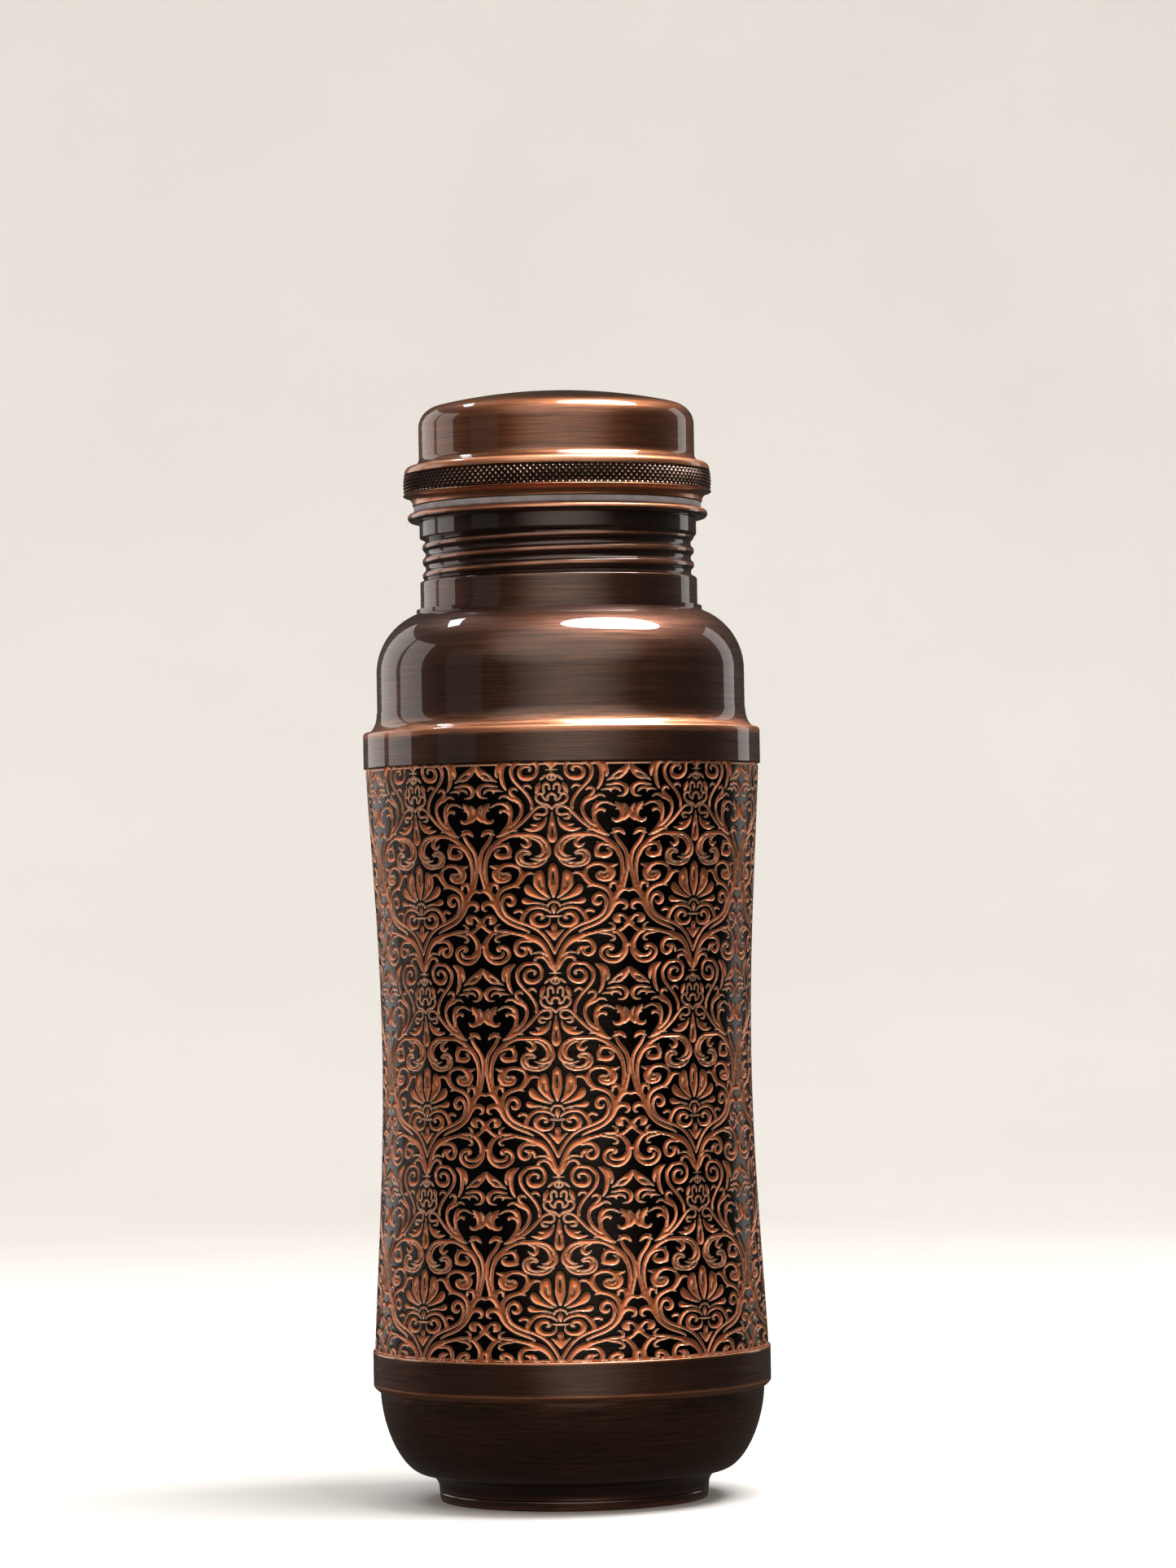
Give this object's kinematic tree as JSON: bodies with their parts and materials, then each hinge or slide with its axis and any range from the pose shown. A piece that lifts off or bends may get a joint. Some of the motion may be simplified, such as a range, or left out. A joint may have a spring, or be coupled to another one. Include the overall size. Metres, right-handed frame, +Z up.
{
  "type": "water bottle",
  "caption": "Copper water bottle with an etched damask sleeve between plain bands, a threaded neck, and a knurled screw cap that seals on a gasket.",
  "frame": {"origin": "centre of the foot, on the surface the bottle stands on", "axes": "+Z up the bottle's axis to the crown of the cap; X and Y are equal, because every piece is round"},
  "size_m": [0.0754, 0.0754, 0.2097],
  "materials": {
    "black_copper": "antiqued near-black copper, finely brushed around the axis, under clear lacquer",
    "bright_copper": "bare polished copper on worn rims",
    "etched_copper": "raised brushed copper relief on a glossy near-black ground",
    "silicone": "matt translucent grey-white silicone"
  },
  "bodies": {
    "bottle": {"foot_ring": "bright_copper", "base_disc": "black_copper", "bowl": "black_copper", "lower_band": "black_copper", "etched_sleeve": "etched_copper", "upper_collar": "black_copper", "shoulder": "black_copper", "threaded_neck": "black_copper", "mouth_lip": "bright_copper"},
    "gasket": {"gasket": "silicone"},
    "cap": {"cap_plug": "bright_copper", "knurled_ring": "black_copper", "cap_dome": "black_copper"}
  },
  "joints": [
    {"name": "gasket_lift", "type": "slide", "parent": "bottle", "child": "gasket", "axis": [0, 0, 1], "range_m": [0, 0.0149]},
    {"name": "cap_turn", "type": "hinge", "parent": "gasket", "child": "cap", "pos_m": [0, 0, 0.18], "axis": [0, 0, 1], "range_deg": [0, 1980]}
  ],
  "couplings": [
    {"joint": "gasket_lift", "follows": "cap_turn", "m_per_rad": 0.00042972}
  ]
}
